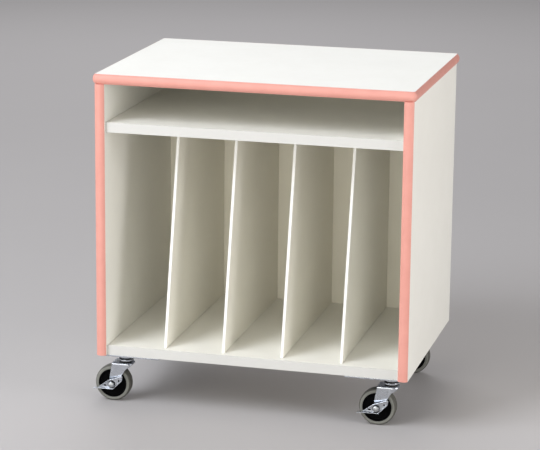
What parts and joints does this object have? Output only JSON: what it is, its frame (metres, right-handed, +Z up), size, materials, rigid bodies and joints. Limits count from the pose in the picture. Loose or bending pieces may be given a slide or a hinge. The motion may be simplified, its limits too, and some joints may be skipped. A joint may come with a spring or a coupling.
{
  "type": "film file cart",
  "caption": "Open-front cart on swivel casters: a top with a bull-nose edge band, a shelf compartment, and upright slots between dividers with slanted fronts.",
  "frame": {"origin": "on the floor, under the middle of the top panel", "axes": "+X right as seen from the open front, +Y from the open front to the back, +Z up"},
  "size_m": [0.666, 0.468, 0.686],
  "materials": {
    "white_laminate": "satin white melamine on particle board",
    "divider_laminate": "satin white melamine on thin fibreboard",
    "edge_band": "satin salmon PVC",
    "white_edging": "satin white PVC strip",
    "steel": "bright zinc plated",
    "bearing": "greased dark steel",
    "hub": "black moulded plastic",
    "tyre": "mid-grey rubber"
  },
  "bodies": {
    "cabinet": {"top_panel": "white_laminate", "top_edge_band": "edge_band", "left_side_panel": "white_laminate", "left_side_band": "edge_band", "right_side_panel": "white_laminate", "right_side_band": "edge_band", "middle_shelf": "white_laminate", "shelf_edging": "white_edging", "bottom_panel": "white_laminate", "bottom_edging": "white_edging", "back_panel": "white_laminate", "divider_1": "divider_laminate", "divider_2": "divider_laminate", "divider_3": "divider_laminate", "divider_4": "divider_laminate", "left_caster_rail": "steel", "right_caster_rail": "steel", "front_left_base_plate": "steel", "front_left_kingpin": "steel", "front_left_bearing_ring": "bearing", "front_right_base_plate": "steel", "front_right_kingpin": "steel", "front_right_bearing_ring": "bearing", "rear_left_base_plate": "steel", "rear_left_kingpin": "steel", "rear_left_bearing_ring": "bearing", "rear_right_base_plate": "steel", "rear_right_kingpin": "steel", "rear_right_bearing_ring": "bearing"},
    "front_left_swivel": {"front_left_fork": "steel", "front_left_axle_bolt": "steel", "front_left_wheel_bush": "steel"},
    "front_left_wheel": {"front_left_hub": "hub", "front_left_tyre": "tyre"},
    "front_left_brake": {"front_left_brake_lever": "steel"},
    "front_right_swivel": {"front_right_fork": "steel", "front_right_axle_bolt": "steel", "front_right_wheel_bush": "steel"},
    "front_right_wheel": {"front_right_hub": "hub", "front_right_tyre": "tyre"},
    "front_right_brake": {"front_right_brake_lever": "steel"},
    "rear_left_swivel": {"rear_left_fork": "steel", "rear_left_axle_bolt": "steel", "rear_left_wheel_bush": "steel"},
    "rear_left_wheel": {"rear_left_hub": "hub", "rear_left_tyre": "tyre"},
    "rear_right_swivel": {"rear_right_fork": "steel", "rear_right_axle_bolt": "steel", "rear_right_wheel_bush": "steel"},
    "rear_right_wheel": {"rear_right_hub": "hub", "rear_right_tyre": "tyre"}
  },
  "joints": [
    {"name": "front_left_swivel_turn", "type": "hinge", "parent": "cabinet", "child": "front_left_swivel", "pos_m": [-0.2765, -0.172, 0.0885], "axis": [0, 0, 1], "continuous": true},
    {"name": "front_left_wheel_spin", "type": "hinge", "parent": "front_left_swivel", "child": "front_left_wheel", "pos_m": [-0.3025, -0.172, 0.0375], "axis": [0, 1, 0], "continuous": true},
    {"name": "front_left_brake_press", "type": "hinge", "parent": "front_left_swivel", "child": "front_left_brake", "pos_m": [-0.3025, -0.172, 0.0375], "axis": [0, -1, 0], "range_deg": [0, 20]},
    {"name": "front_right_swivel_turn", "type": "hinge", "parent": "cabinet", "child": "front_right_swivel", "pos_m": [0.2765, -0.172, 0.0885], "axis": [0, 0, 1], "continuous": true},
    {"name": "front_right_wheel_spin", "type": "hinge", "parent": "front_right_swivel", "child": "front_right_wheel", "pos_m": [0.2505, -0.172, 0.0375], "axis": [0, 1, 0], "continuous": true},
    {"name": "front_right_brake_press", "type": "hinge", "parent": "front_right_swivel", "child": "front_right_brake", "pos_m": [0.2505, -0.172, 0.0375], "axis": [0, -1, 0], "range_deg": [0, 20]},
    {"name": "rear_left_swivel_turn", "type": "hinge", "parent": "cabinet", "child": "rear_left_swivel", "pos_m": [-0.2765, 0.18, 0.0885], "axis": [0, 0, 1], "continuous": true},
    {"name": "rear_left_wheel_spin", "type": "hinge", "parent": "rear_left_swivel", "child": "rear_left_wheel", "pos_m": [-0.3025, 0.18, 0.0375], "axis": [0, 1, 0], "continuous": true},
    {"name": "rear_right_swivel_turn", "type": "hinge", "parent": "cabinet", "child": "rear_right_swivel", "pos_m": [0.2765, 0.18, 0.0885], "axis": [0, 0, 1], "continuous": true},
    {"name": "rear_right_wheel_spin", "type": "hinge", "parent": "rear_right_swivel", "child": "rear_right_wheel", "pos_m": [0.2505, 0.18, 0.0375], "axis": [0, 1, 0], "continuous": true}
  ]
}
